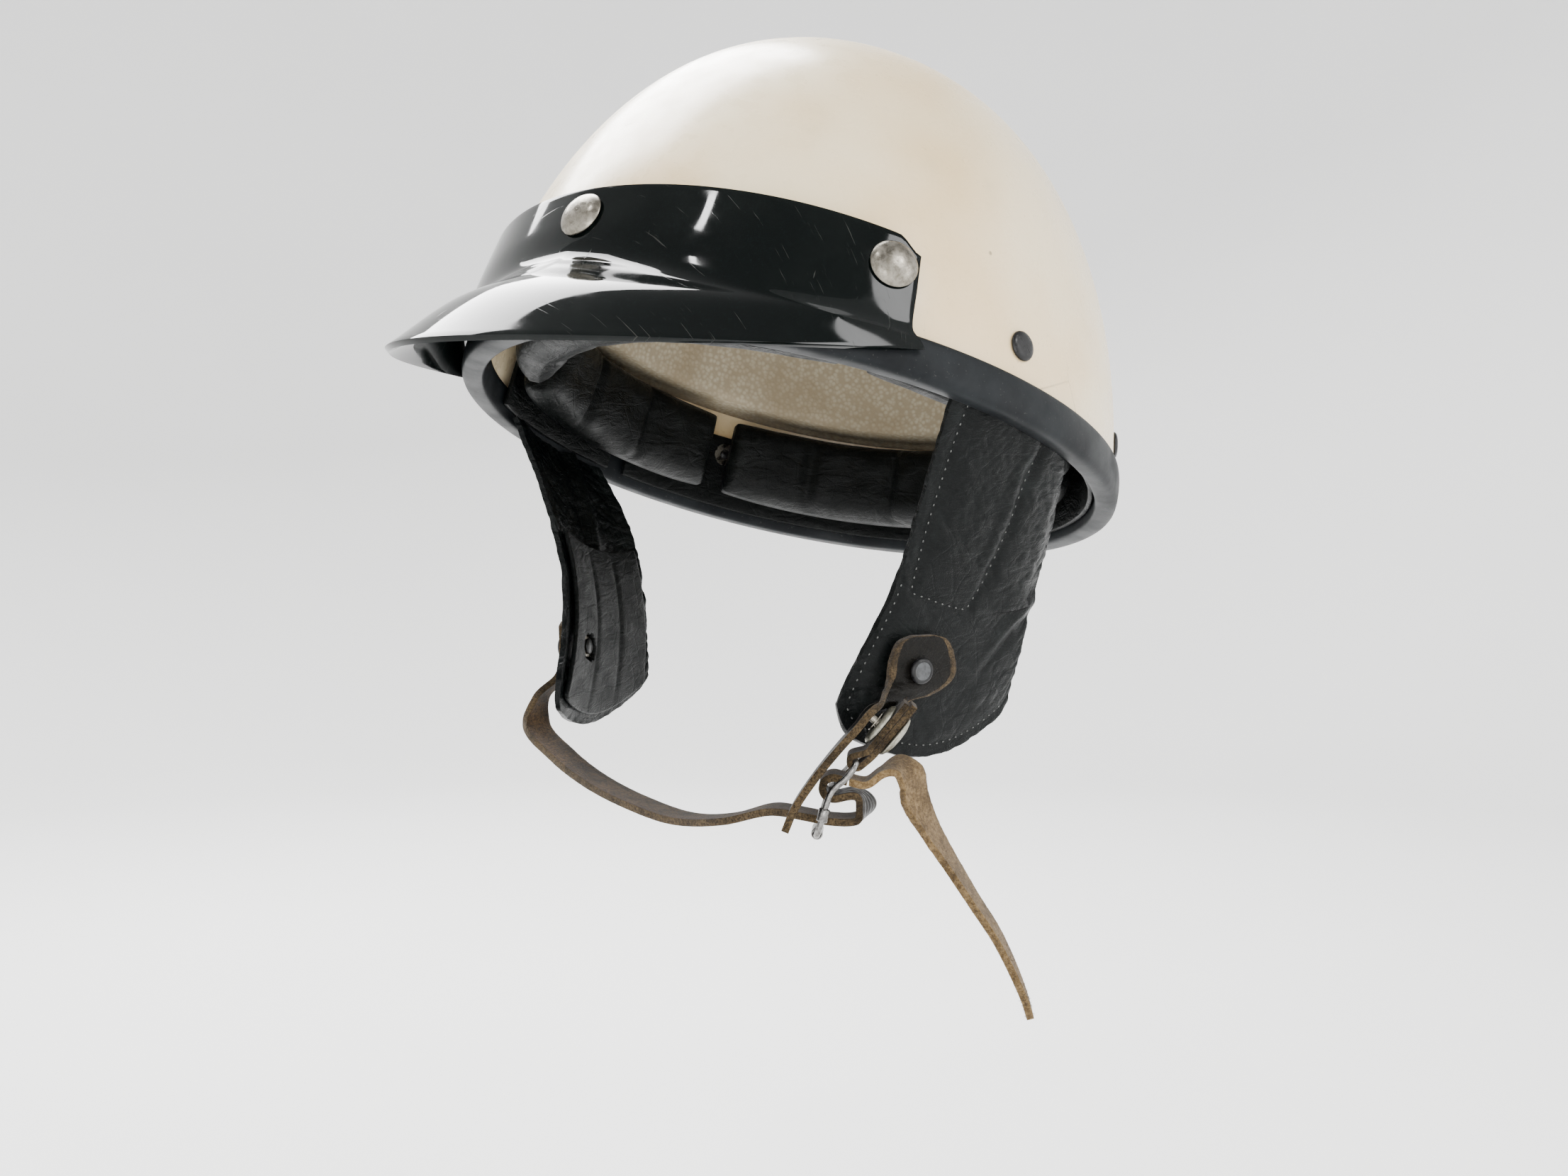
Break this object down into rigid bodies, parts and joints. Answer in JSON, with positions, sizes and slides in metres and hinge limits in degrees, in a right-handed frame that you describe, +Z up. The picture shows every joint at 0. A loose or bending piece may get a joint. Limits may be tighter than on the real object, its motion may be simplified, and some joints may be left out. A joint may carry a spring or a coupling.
{
  "type": "open face motorcycle helmet",
  "caption": "Open face riding helmet: round hard shell with rubber edge, removable peak, hanging leather ear flaps and a buckled leather chin strap.",
  "frame": {"origin": "middle of the shell's rim opening, where the head goes in", "axes": "+Z up as worn, -Y the wearer's front, +X the wearer's left; the rim is tipped back 17.5 degrees"},
  "size_m": [0.2518, 0.3277, 0.3566],
  "materials": {
    "shell": "satin gloss cream paint, aged",
    "rubber": "satin",
    "foam": "matt foam",
    "cloth": "woven",
    "leather": "grained, worn satin",
    "peak": "high gloss",
    "black_metal": "black enamel",
    "nickel": "tarnished nickel",
    "suede": "suede, hairy flesh side"
  },
  "bodies": {
    "helmet": {"outer_shell": "shell", "edge_trim": "rubber", "foam_liner": "foam", "crown_pad": "cloth", "nape_band": "leather", "brow_pad": "leather", "nape_pad": "leather", "temple_pad_left": "leather", "temple_pad_right": "leather", "harness_rivet_front_left": "black_metal", "harness_washer_front_left": "nickel", "harness_rivet_front_right": "black_metal", "harness_washer_front_right": "nickel", "harness_rivet_rear_left": "black_metal", "harness_washer_rear_left": "nickel", "harness_rivet_rear_right": "black_metal", "harness_washer_rear_right": "nickel", "snap_stud_centre": "nickel", "snap_stud_left": "nickel", "snap_stud_right": "nickel", "curtain_band_left": "leather", "curtain_band_right": "leather"},
    "peak": {"peak": "peak", "snap_socket_centre": "nickel", "snap_socket_left": "nickel", "snap_socket_right": "nickel", "snap_cap_centre": "nickel", "snap_cap_left": "nickel", "snap_cap_right": "nickel"},
    "left_flap": {"ear_flap_left": "leather", "ear_lining_left": "cloth"},
    "right_flap": {"ear_flap_right": "leather", "ear_lining_right": "cloth"},
    "left_rivet": {"flap_rivet_left": "black_metal", "flap_washer_left": "nickel"},
    "right_rivet": {"flap_rivet_right": "black_metal", "flap_washer_right": "nickel"},
    "jaw_tab": {"jaw_tab": "suede", "press_stud_post": "nickel"},
    "chin_strap": {"chin_strap": "suede", "buckle_strap": "suede", "press_stud_socket": "nickel", "press_stud_cap": "nickel"},
    "buckle": {"buckle_frame": "nickel", "buckle_sleeve": "nickel"},
    "roller": {"buckle_roller": "nickel"},
    "strap_tail": {"strap_tail": "suede"}
  },
  "joints": [
    {"name": "peak_pull", "type": "slide", "parent": "helmet", "child": "peak", "axis": [0, -0.8791, 0.4767], "range_m": [0, 0.025]},
    {"name": "flap_sway", "type": "hinge", "parent": "helmet", "child": "left_flap", "pos_m": [0.11465, 0.00069, 0.00219], "axis": [0, 0.9537, -0.3007], "range_deg": [-2, 2], "stiffness_Nm_per_rad": 0.3},
    {"name": "right_flap_sway", "type": "hinge", "parent": "helmet", "child": "right_flap", "pos_m": [-0.11465, 0.00069, 0.00219], "axis": [0, 0.9537, -0.3007], "range_deg": [-2, 2]},
    {"name": "left_rivet_level", "type": "hinge", "parent": "left_flap", "child": "left_rivet", "pos_m": [0.07959, -0.03736, -0.07525], "axis": [0, 0.9537, -0.3007], "range_deg": [-4.5, 4.5]},
    {"name": "right_rivet_level", "type": "hinge", "parent": "right_flap", "child": "right_rivet", "pos_m": [-0.07959, -0.03736, -0.07525], "axis": [0, 0.9537, -0.3007], "range_deg": [-4.5, 4.5]},
    {"name": "strap_swing", "type": "hinge", "parent": "right_rivet", "child": "chin_strap", "pos_m": [-0.07959, -0.03736, -0.07525], "axis": [1, 0, 0], "range_deg": [-9, 3]},
    {"name": "tab_swing", "type": "hinge", "parent": "left_rivet", "child": "jaw_tab", "pos_m": [0.07959, -0.03736, -0.07525], "axis": [1, 0, 0], "range_deg": [-9, 3]},
    {"name": "buckle_tilt", "type": "hinge", "parent": "chin_strap", "child": "buckle", "pos_m": [0.07572, -0.0647, -0.10445], "axis": [0.5592, -0.829, 0], "range_deg": [-3, 3]},
    {"name": "roller_spin", "type": "hinge", "parent": "buckle", "child": "roller", "pos_m": [0.06469, -0.07214, -0.12925], "axis": [0.5592, -0.829, 0], "continuous": true},
    {"name": "tail_swing", "type": "hinge", "parent": "chin_strap", "child": "strap_tail", "pos_m": [0.07461, -0.06484, -0.11185], "axis": [0.5592, -0.829, 0], "range_deg": [-15, 15]}
  ],
  "couplings": [
    {"joint": "right_flap_sway", "follows": "flap_sway", "ratio": 1},
    {"joint": "left_rivet_level", "follows": "flap_sway", "ratio": -1.4405},
    {"joint": "right_rivet_level", "follows": "flap_sway", "ratio": -1.4405},
    {"joint": "tab_swing", "follows": "strap_swing", "ratio": 1}
  ]
}
